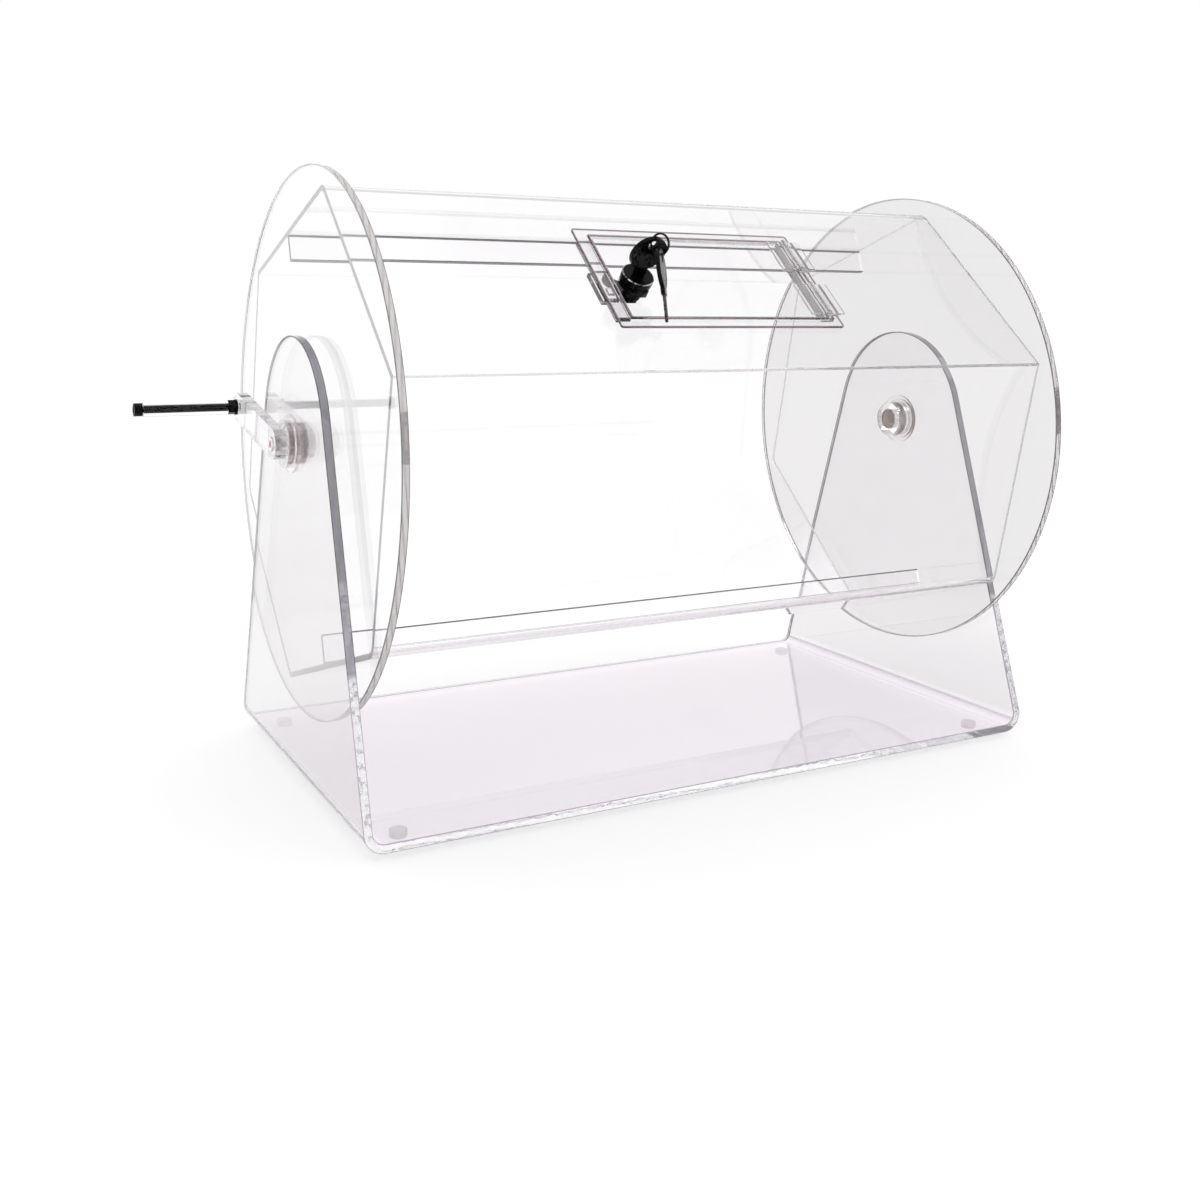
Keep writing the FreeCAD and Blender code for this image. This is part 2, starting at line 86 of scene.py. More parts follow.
# --- Acrylic: how it bends and scatters light -----------------------------------------------------
acrylic_ior = 1.49
disc_ior = 1.30
sleeve_ior = 1.22
bumper_ior = 1.05
glue_gap = 0.00001
edge_turn = (0.93, 0.85)
past_bend = (0.80, 0.70)
facing = (0.5, 0.8)
ripple_scale = 130.0
streak_from = (0.35, 0.65)
streak_tint = 0.85
faint_streak_tint = 0.97
fainter_streak_tint = 0.98
cut_roughness = (0.03, 0.10)
smudge_scale = 14.0
smudge_from = (0.55, 0.75)
smudge_tint = 0.985
smudge_roughness = 0.03
# Painted shade: dark lines along the sheets' outlines, and cut edges made grey and partly opaque, partly as
# a frosted finish.
arris_width = 0.0012
rim_line = 0.0006
line_body = 0.85
rim_fade = (0.25, 0.75)
rim_least = 0.35
wall_cut_matt_and_shade = (0.45, 0.60)
left_disc_matt_and_shade = 0.30
right_disc_matt_and_shade = 0.15
arm_ripple = 0.0006
hinge_ripple = 0.0005

# --- Sides: how the solids' flat sides are found, and the ways a round one faces ------------------
broad_share = 0.10
least_area = 1e-12
normal_digits = 2
round_ways = 6

# --- Bent stand: the sheet's own sizes, and where its finish changes ------------------------------
stand_bottom = 0.005
stand_sheet = 0.006
stand_bend = 0.015
stand_half_length = 0.2825
stand_half_depth = 0.155
stand_middle = 0.0433
upright_radius = 0.077
axle_height = 0.2525
top_start = 0.001
sheet_tone = (0.135, 0.045)
crank_upright_tone = (0.34, 0.09)
base_drift = (0.98, 1.01)
base_drift_scale = 5.0
sawn_edge_top = 0.115
sawn_edge_fade = 0.006
sawn_ripple = 0.004
edge_ripple = 0.0001
edge_streak_tint = 0.95
fleck_scale = 260.0
fleck_from = (0.52, 0.62)
fleck_tint = 0.58
fleck_matt = 0.35
# Painted shade: the uprights' cut edge is grey and partly opaque above sawn_edge_top, and pale below it.
shaded_high_cut_share = 0.62
bore_reach = (0.020, 0.025)

# --- Tints: what faces, cut edges and lines leave of white light; grey cut and line tints are painted shade ---
clear = (0.985, 0.98, 0.985)
warm_clear = (0.985, 0.98, 0.98)
stand_look = {
    "high_face": (0.945, 0.94, 0.945),
    "low_face": (0.81, 0.795, 0.805),
    "base": (0.975, 0.93, 0.975),
    "shaded_high_cut": (0.50, 0.49, 0.54),
    "low_cut": (0.99, 0.985, 0.99),
    "high_line": (0.15, 0.12, 0.15),
    "low_line": (0.56, 0.46, 0.62),
}
disc_edge_look = {"cut": (0.82, 0.80, 0.79), "line": (0.22, 0.19, 0.20)}
left_disc_look = {"high_face": (0.955, 0.95, 0.955), "low_face": (0.94, 0.935, 0.94), **disc_edge_look}
# Painted shade: the right disc is a darker copy of the left disc's acrylic, its face greyer above the
# height sheet_tone gives.
shaded_right_disc_look = {"high_face": (0.80, 0.79, 0.795), "low_face": (0.95, 0.94, 0.945), **disc_edge_look}
wall_look = {"face": (0.998, 0.994, 0.998), "long_cut": (0.55, 0.53, 0.54), "end_cut": (0.62, 0.60, 0.605)}
fin_look = {"face": clear, "cut": (0.45, 0.42, 0.43), "line": (0.10, 0.08, 0.09)}
door_look = {"face": (0.992, 0.985, 0.99), "cut": (0.40, 0.34, 0.37), "line": (0.40, 0.31, 0.35)}
strip_look = {"face": clear, "cut": (0.36, 0.34, 0.35), "line": (0.20, 0.18, 0.19)}
crank_end_look = {"face": (1.0, 0.99, 0.99), "cut": (0.88, 0.84, 0.83), "matt_and_shade": 0.06}
# Painted shade: the far end's turned acrylic is a darker, browner copy of the crank end's.
shaded_far_end_look = {"face": (0.98, 0.955, 0.94), "cut": (0.52, 0.43, 0.38), "matt_and_shade": 0.32}
arm_look = {"face": clear, "cut": (0.70, 0.68, 0.70)}
plug_look = {"face": warm_clear, "cut": (0.96, 0.94, 0.95)}
hinge_look = {"face": warm_clear, "cut": (0.62, 0.59, 0.60)}
bumper_look = {"face": (0.78, 0.74, 0.76), "cut": (0.70, 0.66, 0.68)}

# --- Metal and plastic: colours and grain ---------------------------------------------------------
pin_steel = {"colour": (0.7, 0.7, 0.72), "roughness": 0.3, "metallic": 1.0}
screw_metal = {"colour": (0.90, 0.85, 0.83), "roughness": 0.25, "metallic": 1.0}
blade_steel = {"colour": (0.07, 0.055, 0.055), "roughness": 0.36, "metallic": 1.0}
ring_steel = {"colour": (0.016, 0.016, 0.018), "roughness": 0.22, "metallic": 1.0}
black = (0.003, 0.003, 0.0035)
bolt_enamel = {"colour": black, "roughness": 0.20, "specular": 0.07}
nut_enamel = {"colour": black, "roughness": 0.22, "specular": 0.10}
bow_plastic = {"colour": (0.002, 0.002, 0.0022), "roughness": 0.18, "specular": 0.09}
grain_scale = 900.0
grain_height = 0.000006
grain_roughness = (0.75, 1.3)
wear_scale = grain_scale / 12
wear_from = (0.5, 0.7)
wear_lift = 1.5
palest = 0.97
# Bare metal on the lock's shoulders: partly wear, partly a painted highlight.
bare_metal_highlight = (0.55, 0.53, 0.58)
shoulder_start = (0.30, 0.45)
shoulder_end = (0.92, 0.80)
rub_highlight_scale = 260.0
rub_highlight_from = (0.40, 0.55)
casting_grain_scale = 700.0
casting_roughness = (0.14, 0.26)
casting_specular = 0.10

# --- Bolt, ring and key sizes ---------------------------------------------------------------------
bolt_head_length = 0.0095
knurl_count = 36.0
knurl_depth = 0.00025
thread_pitch = 0.00125
thread_start = 0.0005
thread_share = 0.5
bow_radius = 0.014
bow_rim = (0.0116, 0.0122)
bow_rim_height = 0.0003
ring_wire = (0.00066, 0.00034)
ring_wire_fit = 0.96
ring_wire_square = 0.5
ring_turns = 1.92
ring_step_angle = math.radians(28.0)
ring_steps = 260
ring_corners = 20
blade_half_sheet = 0.001
blade_half_width = 0.0025
blade_square = 0.35
blade_steps = 150
blade_corners = 48
blade_tip_least = 0.02
blade_groove = 0.00035
blade_groove_place = -0.25
blade_groove_spread = 0.22
blade_cut_depth = 0.0011
blade_cut_pitch = 0.0034
blade_cut_slope = 1.6
blade_cut_drift = 1.1
blade_cut_drift_pitch = 0.0081
blade_cut_start = 0.002
blade_cut_end = 0.003
blade_cut_fade = 0.001

x_axis = (1.0, 0.0, 0.0)
y_axis = (0.0, 1.0, 0.0)
z_axis = (0.0, 0.0, 1.0)


# --- Node shorthand -------------------------------------------------------------------------------
def add(tree, kind, inputs=None, output=0, **settings):
    """A shader node with its settings and its inputs, each a value or another node's output."""
    node = tree.nodes.new("ShaderNode" + kind)
    for name, value in settings.items():
        setattr(node, name, value)
    for name, value in (inputs or {}).items():
        if isinstance(value, bpy.types.NodeSocket):
            tree.links.new(value, node.inputs[name])
        else:
            node.inputs[name].default_value = value
    return node.outputs[output]


def maths(tree, operation, first, second=0.0, third=0.0):
    return add(tree, "Math", {0: first, 1: second, 2: third}, operation=operation)


def vectors(tree, operation, first, second, output=0):
    return add(tree, "VectorMath", {0: first, 1: second}, output, operation=operation)


def hypotenuse(tree, a, b):
    squares = maths(tree, "ADD", maths(tree, "MULTIPLY", a, a), maths(tree, "MULTIPLY", b, b))
    return maths(tree, "SQRT", squares)


def smooth_step(tree, value, low, high):
    """0 below low and 1 above high, or the other way round where low is the larger."""
    return add(tree, "MapRange", {0: value, 1: low, 2: high}, interpolation_type="SMOOTHSTEP")


def between(tree, share, first, second):
    """A value that goes from first to second with the share."""
    return add(tree, "MapRange", {0: share, 3: first, 4: second})


def mixed(tree, share, first, second):
    """A colour that goes from first to second with the share."""
    return add(tree, "Mix", {0: share, 6: first, 7: second}, 2, data_type="RGBA")


def solid(colour):
    return (*colour, 1.0)


def place_of(tree):
    return add(tree, "TexCoord", output="Object")


def noise(tree, scale, detail=soft_detail):
    return add(tree, "TexNoise", {"Vector": place_of(tree), "Scale": scale, "Detail": detail})


def height_bump(tree, height, depth):
    return add(tree, "Bump", {"Height": height, "Distance": depth, "Strength": 1.0})


def new_material(name):
    """A node material, its tree and its Principled shader."""
    material = bpy.data.materials.new(name)
    material.use_nodes = True
    tree = material.node_tree
    return material, tree, tree.nodes["Principled BSDF"]


def stand_back(material, tree):
    """Draws a clear piece's surface in by a hair, so that glued pieces' faces don't coincide."""
    material.displacement_method = "DISPLACEMENT"
    inwards = add(tree, "Displacement", {"Height": 0.0, "Midlevel": 1.0, "Scale": glue_gap})
    tree.links.new(inwards, tree.nodes["Material Output"].inputs["Displacement"])


def feed(tree, shader, inputs):
    for name, value in inputs.items():
        if isinstance(value, bpy.types.NodeSocket):
            tree.links.new(value, shader.inputs[name])
        else:
            shader.inputs[name].default_value = value


# --- What the solids say of themselves ------------------------------------------------------------
def triangles(name):
    """The corners of a node's triangles, as an array of triangle by corner by coordinate."""
    mesh = frame["nodes"][name].data
    places = np.zeros(len(mesh.vertices) * 3)
    mesh.vertices.foreach_get("co", places)
    mesh.calc_loop_triangles()
    corners = np.zeros(len(mesh.loop_triangles) * 3, dtype=np.int32)
    mesh.loop_triangles.foreach_get("vertices", corners)
    return places.reshape(-1, 3)[corners].reshape(-1, 3, 3)


def areas_and_normals(name):
    """Half the cross product of two sides is a triangle's area along its normal."""
    corners = triangles(name)
    cross = np.cross(corners[:, 1] - corners[:, 0], corners[:, 2] - corners[:, 0]) / 2
    area = np.linalg.norm(cross, axis=1)
    return area, cross / np.maximum(area, least_area)[:, None]


def broad_sides(names):
    """Directions of the nodes' large flat sides, the largest first.

    Triangles with equal normals, sign left out, are one side where they cover a share of the whole.
    """
    found = []
    for name in names:
        area, normal = areas_and_normals(name)
        lead = np.argmax(np.abs(normal) > 0.5, axis=1)
        sign = np.sign(normal[np.arange(len(normal)), lead])
        alike = np.round(normal * sign[:, None], normal_digits)
        keys, group = np.unique(alike, axis=0, return_inverse=True)
        share = np.bincount(group.ravel(), weights=area) / area.sum()
        order = [row for row in np.argsort(-share) if share[row] > broad_share]
        found += [tuple(keys[row] / np.linalg.norm(keys[row])) for row in order]
    return list(dict.fromkeys(found))


def middle(name):
    """Middle of a node's surface: its triangles' middles, weighted by their areas."""
    area, _ = areas_and_normals(name)
    return (triangles(name).mean(axis=1) * area[:, None]).sum(axis=0) / area.sum()


def thin_axis(name):
    """Direction in which a flat node is thinnest: the last singular vector of its corners."""
    corners = triangles(name).reshape(-1, 3)
    return np.linalg.svd(corners - corners.mean(axis=0), full_matrices=False)[2][2]


# --- Clear acrylic --------------------------------------------------------------------------------
def off_sides(tree, sides, turn=edge_turn):
    """1 on a sheet's cut edges and 0 on its broad sides, by the surface's angle to those sides."""
    normal = add(tree, "TexCoord", output="Normal")
    nearest = 0.0
    for side in sides:
        lined_up = maths(tree, "ABSOLUTE", vectors(tree, "DOT_PRODUCT", normal, side, "Value"))
        nearest = maths(tree, "MAXIMUM", lined_up, nearest)
    return smooth_step(tree, nearest, *turn)


def arris(tree, inside, width=arris_width):
    """1 where a surface comes within a line's width of its border, from the distance inside that border."""
    return smooth_step(tree, inside, width, width / 2)


def faded(colour, by):
    return solid(tuple(min(1.0, c * by) for c in colour))


def darker(tree, share, colour, by):
    """The colour times by where the share is whole."""
    return mixed(tree, share, colour, mixed(tree, by, solid((0.0, 0.0, 0.0)), colour))


def finish_acrylic(
        tree, shader, edge, face, cut, line, border=0.0, rim=0.0,
        ripple=0.0, matt_and_shade=0.0, drift=streak_tint, ior=acrylic_ior):
    """Smudged polished faces, rippled cut edges made partly opaque, partly by a frosted finish and partly
    as painted shade, and a painted shade line where they meet.
    """
    grain = noise(tree, ripple_scale, grain_detail)
    streaks = smooth_step(tree, grain, *streak_from)
    smudges = smooth_step(tree, noise(tree, smudge_scale, ragged_detail), *smudge_from)
    face = darker(tree, smudges, face, smudge_tint)
    cut = darker(tree, streaks, cut, drift)
    # Painted shade: the outline lines and the cut edges' opaque share, which is partly a frosted finish,
    # darken the edges.
    lines = add(tree, "Mix", {0: edge, 2: border, 3: rim})
    matt_and_shade_share = add(tree, "Mix", {0: edge, 2: 0.0, 3: matt_and_shade})
    matt_and_shade_share = maths(tree, "MAXIMUM", matt_and_shade_share, maths(tree, "MULTIPLY", lines, line_body))
    rough_face = maths(tree, "MULTIPLY", smudges, smudge_roughness)
    rough_cut = between(tree, streaks, *cut_roughness)
    waves = maths(tree, "MULTIPLY", maths(tree, "MULTIPLY", grain, edge), ripple)
    feed(tree, shader, {
        "Base Color": mixed(tree, lines, mixed(tree, edge, face, cut), line),
        "Transmission Weight": maths(tree, "SUBTRACT", 1.0, matt_and_shade_share),
        "IOR": ior,
        "Roughness": add(tree, "Mix", {0: edge, 2: rough_face, 3: rough_cut}),
        "Normal": height_bump(tree, waves, 1.0),
    })


def clear_sheet(name, sides, face, cut, line=clear, border=None, **finish):
    """Acrylic whose cut edges are told from its faces by their direction. border gives its painted shade
    lines.
    """
    material, tree, shader = new_material(name)
    edge = off_sides(tree, sides)
    finish["border"] = border(tree) if border else 0.0
    finish_acrylic(tree, shader, edge, solid(face), solid(cut), solid(line), **finish)
    stand_back(material, tree)
    return material


def clear_wall(name, face, long_cut, end_cut):
    """A drum wall: cut edges made grey and less clear, partly by glue and partly as painted shade, the ends
    against the discs more than the long ones.
    """
    material, tree, shader = new_material(name)
    edge = off_sides(tree, broad_sides([name]), past_bend)
    normal = add(tree, "TexCoord", output="Normal")
    facing_end = maths(tree, "ABSOLUTE", vectors(tree, "DOT_PRODUCT", normal, x_axis, "Value"))
    end = smooth_step(tree, facing_end, *facing)
    cut = mixed(tree, end, solid(long_cut), solid(end_cut))
    matt_and_shade = between(tree, end, *wall_cut_matt_and_shade)
    finish_acrylic(
        tree, shader, edge, solid(face), cut, solid(end_cut), matt_and_shade=matt_and_shade, drift=faint_streak_tint)
    stand_back(material, tree)
    return material


def across_disc(name):
    """Painted shade lines inside a disc's outline, by radius less distance from the axle, and along its
    rim.
    """
    low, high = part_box(name)
    centre = tuple((a + b) / 2 for a, b in zip(low, high))
    radius = (high[2] - low[2]) / 2

    def sideways(tree):
        """Round the top and foot of the rim its painted shade lines fade out."""
        y = add(tree, "SeparateXYZ", {0: place_of(tree)}, "Y")
        off = maths(tree, "ABSOLUTE", maths(tree, "SUBTRACT", y, centre[1]))
        start, whole = [radius * share for share in rim_fade]
        return between(tree, smooth_step(tree, off, start, whole), rim_least, 1.0)

    def rim(tree):
        x = add(tree, "SeparateXYZ", {0: place_of(tree)}, "X")
        off = maths(tree, "ABSOLUTE", maths(tree, "SUBTRACT", x, centre[0]))
        line = arris(tree, maths(tree, "SUBTRACT", (high[0] - low[0]) / 2, off), rim_line)
        return maths(tree, "MULTIPLY", line, sideways(tree))

    def border(tree):
        line = arris(tree, maths(tree, "SUBTRACT", radius, from_line(tree, centre, x_axis)))
        return maths(tree, "MULTIPLY", line, sideways(tree))

    return {"rim": rim, "border": border}


def clear_disc(name, high_face, low_face, cut, line, matt_and_shade):
    """An end disc: its tone changes from its middle down, and painted shade lines follow the borders of its
    rim.
    """
    material, tree, shader = new_material(name + "_sheet")
    z = add(tree, "SeparateXYZ", {0: place_of(tree)}, "Z")
    face = mixed(tree, smooth_step(tree, z, *sheet_tone), solid(high_face), solid(low_face))
    edge = off_sides(tree, [x_axis])
    lines = {key: make(tree) for key, make in across_disc(name).items()}
    finish_acrylic(
        tree, shader, edge, face, solid(cut), solid(line),
        matt_and_shade=matt_and_shade, drift=faint_streak_tint, ior=disc_ior, **lines)
    stand_back(material, tree)
    return material


def across_plate(name, ends=True):
    """A painted shade line inside a rectangular plate's outline, by half its size less the distance from
    its middle.
    """
    flat_way = np.array(broad_sides([name])[0])
    wide_way = np.cross(flat_way, x_axis)
    wide_way /= np.linalg.norm(wide_way)
    corners = triangles(name).reshape(-1, 3)
    axes = [np.array(x_axis), wide_way, flat_way]
    low = [(corners @ axis).min() for axis in axes]
    high = [(corners @ axis).max() for axis in axes]
    centre = sum(axis * (a + b) / 2 for axis, a, b in zip(axes, low, high))

    def border(tree):
        apart = vectors(tree, "SUBTRACT", place_of(tree), tuple(centre))
        inside = 1.0
        for axis, a, b in list(zip(axes, low, high))[0 if ends else 1:2]:
            off = maths(tree, "ABSOLUTE", vectors(tree, "DOT_PRODUCT", apart, tuple(axis), "Value"))
            inside = maths(tree, "MINIMUM", inside, maths(tree, "SUBTRACT", (b - a) / 2, off))
        return arris(tree, inside)

    return {"border": border}


def upright_inside(tree, y, z):
    """Distance inside the uprights' outline: a circle about the axle, its tangents and the depth."""
    off = maths(tree, "ABSOLUTE", y)
    up = maths(tree, "SUBTRACT", z, axle_height)
    drop = stand_bottom + stand_bend - axle_height
    reach = math.hypot(drop, stand_half_depth)
    lean = math.atan2(drop, stand_half_depth) + math.acos(upright_radius / reach)
    outward, upward = (math.cos(lean), math.sin(lean)), (-math.sin(lean), math.cos(lean))
    slant, rise = [
        maths(tree, "ADD", maths(tree, "MULTIPLY", off, a), maths(tree, "MULTIPLY", up, b))
        for a, b in (outward, upward)
    ]
    radial = hypotenuse(tree, off, up)
    round_top = smooth_step(tree, rise, 0.0, top_start)
    reached = add(tree, "Mix", {0: round_top, 2: slant, 3: radial})
    side = maths(tree, "SUBTRACT", upright_radius, reached)
    return maths(tree, "MINIMUM", side, maths(tree, "SUBTRACT", stand_half_depth, off))


def stand_depth(tree, x, z):
    """Distance inside the bent sheet's nearer side.

    That is the depth below a box with round lower corners, or the sheet's thickness less that depth.
    """
    off = maths(tree, "ABSOLUTE", maths(tree, "SUBTRACT", x, stand_middle))
    a = maths(tree, "SUBTRACT", off, stand_half_length - stand_bend)
    b = maths(tree, "SUBTRACT", stand_bottom + stand_bend, z)
    a_out, b_out = maths(tree, "MAXIMUM", a, 0.0), maths(tree, "MAXIMUM", b, 0.0)
    out = hypotenuse(tree, a_out, b_out)
    within = maths(tree, "MINIMUM", maths(tree, "MAXIMUM", a, b), 0.0)
    depth = maths(tree, "SUBTRACT", stand_bend, maths(tree, "ADD", out, within))
    return maths(tree, "MINIMUM", depth, maths(tree, "SUBTRACT", stand_sheet, depth))


def clear_stand(name, high_face, low_face, base, shaded_high_cut, low_cut, high_line, low_line):
    """The bent sheet. Its cut edges face front and rear low down, and away from the axle higher up."""
    material, tree, shader = new_material(name)
    x, y, z = [add(tree, "SeparateXYZ", {0: place_of(tree)}, axis) for axis in "XYZ"]
    low = smooth_step(tree, z, stand_bottom + stand_bend, stand_bottom + stand_sheet)
    normal = add(tree, "TexCoord", output="Normal")
    facing_front = maths(tree, "ABSOLUTE", vectors(tree, "DOT_PRODUCT", normal, y_axis, "Value"))
    edge = add(tree, "Mix", {
        0: low,
        2: off_sides(tree, [x_axis]),
        3: smooth_step(tree, facing_front, *facing),
    })
    drift = noise(tree, base_drift_scale)
    base = mixed(tree, drift, *[faded(base, by) for by in base_drift])
    at_crank = maths(tree, "LESS_THAN", x, stand_middle)
    deeper = add(tree, "Mix", {
        0: at_crank,
        2: smooth_step(tree, z, *sheet_tone),
        3: smooth_step(tree, z, *crank_upright_tone),
    })
    face = mixed(tree, low, mixed(tree, deeper, solid(high_face), solid(low_face)), base)
    # Painted shade: above sawn_edge_top the cut edge takes the grey high tint, its dark line and a partly
    # opaque share; below it stays pale and rippled.
    sawn = smooth_step(tree, z, sawn_edge_top, sawn_edge_top - sawn_edge_fade)
    above_base = smooth_step(tree, z, stand_bottom + stand_sheet, stand_bottom + stand_bend)
    chips = maths(tree, "MULTIPLY", sawn, above_base)
    flecks = smooth_step(tree, noise(tree, fleck_scale, ragged_detail), *fleck_from)
    flecks = maths(tree, "MULTIPLY", flecks, chips)
    cut = mixed(tree, sawn, solid(shaded_high_cut), solid(low_cut))
    cut = darker(tree, flecks, cut, fleck_tint)
    from_axle = from_line(tree, (stand_middle, 0.0, axle_height), x_axis)
    outside_bore = smooth_step(tree, from_axle, *bore_reach)
    cut = mixed(tree, outside_bore, solid(low_cut), cut)
    matt_and_shade = maths(tree, "MULTIPLY", between(tree, sawn, shaded_high_cut_share, 0.0), outside_bore)
    matt_and_shade = maths(tree, "MAXIMUM", matt_and_shade, maths(tree, "MULTIPLY", flecks, fleck_matt))
    finish_acrylic(
        tree, shader, edge, face, cut, mixed(tree, sawn, solid(high_line), solid(low_line)),
        ripple=between(tree, chips, edge_ripple, sawn_ripple),
        matt_and_shade=matt_and_shade,
        drift=edge_streak_tint,
        border=arris(tree, upright_inside(tree, y, z)),
        rim=arris(tree, stand_depth(tree, x, z), rim_line),
    )
    stand_back(material, tree)
    return material


# --- Metal and plastic ----------------------------------------------------------------------------
def grained(name, colour, roughness, metallic=0.0, specular=0.5, height=None, depth=0.0):
    """Cast, moulded or rolled finish, whose colour, roughness and surface drift with a fine grain."""
    material, tree, shader = new_material(name)
    fine = noise(tree, grain_scale, grain_detail)
    worn = smooth_step(tree, noise(tree, wear_scale, ragged_detail), *wear_from)
    lighter = tuple(min(palest, c * wear_lift) for c in colour)
    felt = maths(tree, "MULTIPLY", fine, grain_height)
    if height:
        felt = maths(tree, "MULTIPLY_ADD", height(tree), depth, felt)
    feed(tree, shader, {
        "Base Color": mixed(tree, worn, solid(colour), solid(lighter)),
        "Roughness": between(tree, fine, *[roughness * by for by in grain_roughness]),
        "Metallic": metallic,
        "Specular IOR Level": specular,
        "Normal": height_bump(tree, felt, 1.0),
    })
    return material


def lock_axis():
    """The line in which the lock turns."""
    joint = next(row for row in frame["record"]["behaviour"]["joints"] if row["name"] == "lock_turn")
    return tuple(Vector(joint["axis"]).normalized())


def worn_and_highlit_casting(name, colour, bare, axis):
    """Enamel over cast metal, worn bare on the rounded shoulders between end and side, the bright bare
    metal there also a painted highlight.
    """
    material, tree, shader = new_material(name)
    normal = add(tree, "TexCoord", output="Normal")
    lined_up = maths(tree, "ABSOLUTE", vectors(tree, "DOT_PRODUCT", normal, axis, "Value"))
    off_side = smooth_step(tree, lined_up, *shoulder_start)
    off_end = smooth_step(tree, lined_up, *shoulder_end)
    shoulder = maths(tree, "MULTIPLY", off_side, off_end)
    rubbed_and_highlit = smooth_step(tree, noise(tree, rub_highlight_scale, grain_detail), *rub_highlight_from)
    # Wear and painted highlight: bright bare metal on the shoulders, broken up by noise.
    worn = maths(tree, "MULTIPLY", shoulder, rubbed_and_highlit)
    fine = noise(tree, casting_grain_scale, grain_detail)
    feed(tree, shader, {
        "Base Color": mixed(tree, worn, solid(colour), solid(bare)),
        "Metallic": worn,
        "Roughness": between(tree, fine, *casting_roughness),
        "Specular IOR Level": casting_specular,
        "Normal": height_bump(tree, maths(tree, "MULTIPLY", fine, grain_height), 1.0),
    })
    return material


def bolt_height(tree):
    """Knurls round the head, a sine of the angle, and threads behind it, a sine along the bolt."""
    low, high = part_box("handle_bolt")
    centre = [(a + b) / 2 for a, b in zip(low, high)]
    apart = vectors(tree, "SUBTRACT", place_of(tree), tuple(centre))
    x, y, z = [add(tree, "SeparateXYZ", {0: apart}, axis) for axis in "XYZ"]
    angle = maths(tree, "ARCTAN2", z, y)
    knurl = maths(tree, "SINE", maths(tree, "MULTIPLY", angle, knurl_count))
    thread = maths(tree, "SINE", maths(tree, "MULTIPLY", x, math.tau / thread_pitch))
    head_end = low[0] + bolt_head_length - centre[0]
    behind = smooth_step(tree, x, head_end - thread_start, head_end)
    return add(tree, "Mix", {0: behind, 2: knurl, 3: maths(tree, "MULTIPLY", thread, thread_share)})


def from_line(tree, point, direction):
    """Distance of a place from the line through point along direction."""
    apart = vectors(tree, "SUBTRACT", place_of(tree), tuple(point))
    along = vectors(tree, "DOT_PRODUCT", apart, tuple(direction), "Value")
    on_line = add(tree, "VectorMath", {0: tuple(direction), "Scale": along}, operation="SCALE")
    away = vectors(tree, "SUBTRACT", apart, on_line)
    return add(tree, "VectorMath", {0: away}, "Value", operation="LENGTH")


def bow_height(bow, blade):
    """A raised rim round the key's head, up where a place is far from the head's middle line."""
    long_way = middle(bow) - middle(blade)
    long_way /= np.linalg.norm(long_way)
    corners = triangles(bow).reshape(-1, 3)
    flat_way = thin_axis(bow)
    centre = middle(bow)
    centre = centre + long_way * (((corners - centre) @ long_way).max() - bow_radius)

    def height(tree):
        return smooth_step(tree, from_line(tree, centre, flat_way), *bow_rim)

    return height


# --- Meshes from arrays ---------------------------------------------------------------------------
def shell(name, rings):
    """A tube through rings of points (ring by point by coordinate), with a flat face over each end.

    Its faces point outwards where the points of a ring go round clockwise, seen along the tube.
    """
    count, around = rings.shape[:2]
    first = np.arange(count - 1)[:, None] * around + np.arange(around)[None, :]
    turned = np.arange(count - 1)[:, None] * around + (np.arange(around)[None, :] + 1) % around
    quads = np.stack([first, turned, turned + around, first + around], axis=-1).reshape(-1, 4)
    faces = quads.tolist()
    faces.append(list(range(around))[::-1])
    faces.append(list(range((count - 1) * around, count * around)))
    mesh = bpy.data.meshes.new(name)
    mesh.from_pydata(rings.reshape(-1, 3).tolist(), [], faces)
    mesh.validate()
    mesh.shade_smooth()
    piece = bpy.data.objects.new(name, mesh)
    bpy.context.scene.collection.objects.link(piece)
    return piece


def smooth(share):
    """0 to 1 with level ends, for arrays."""
    share = np.clip(share, 0.0, 1.0)
    return share * share * (3.0 - 2.0 * share)


def squared(wave, power):
    """A sine or cosine flattened towards its two ends, for arrays."""
    return np.sign(wave) * np.abs(wave) ** power


def stands_for(piece, node, body, material):
    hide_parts(node)
    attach(piece, body)
    piece.data.materials.append(material)


def across(axis):
    """Two directions square to an axis and to each other."""
    side = np.cross(axis, z_axis)
    side /= np.linalg.norm(side)
    return side, np.cross(axis, side)


def make_split_ring(material):
    """Flat wire wound nearly twice by the angle t, with a step of one wire's height halfway along.

    Its section is (w cos s, h sin s) squared off. There s falls, so that the faces point outwards.
    """
    axis = thin_axis("key_ring")
    centre = middle("key_ring")
    side, up = across(axis)
    corners = triangles("key_ring").reshape(-1, 3) - centre
    radius = np.linalg.norm(corners - np.outer(corners @ axis, axis), axis=1)
    mean_radius = (radius.max() + radius.min()) / 2
    half_wide, half_high = ring_wire
    t = np.linspace(0.0, math.tau * ring_turns, ring_steps)[:, None]
    s = np.linspace(0.0, -math.tau, ring_corners, endpoint=False)[None, :]
    step = smooth((t - math.pi * ring_turns) / ring_step_angle + 0.5)
    radial = mean_radius + half_wide * squared(np.cos(s), ring_wire_square)
    lift = half_high * (2 * step - 1 + ring_wire_fit * squared(np.sin(s), ring_wire_square))
    around = np.cos(t)[..., None] * side + np.sin(t)[..., None] * up
    rings = centre + radial[..., None] * around + lift[..., None] * axis
    ring = shell("split_ring", rings)
    stands_for(ring, "key_ring", "key_ring", material)


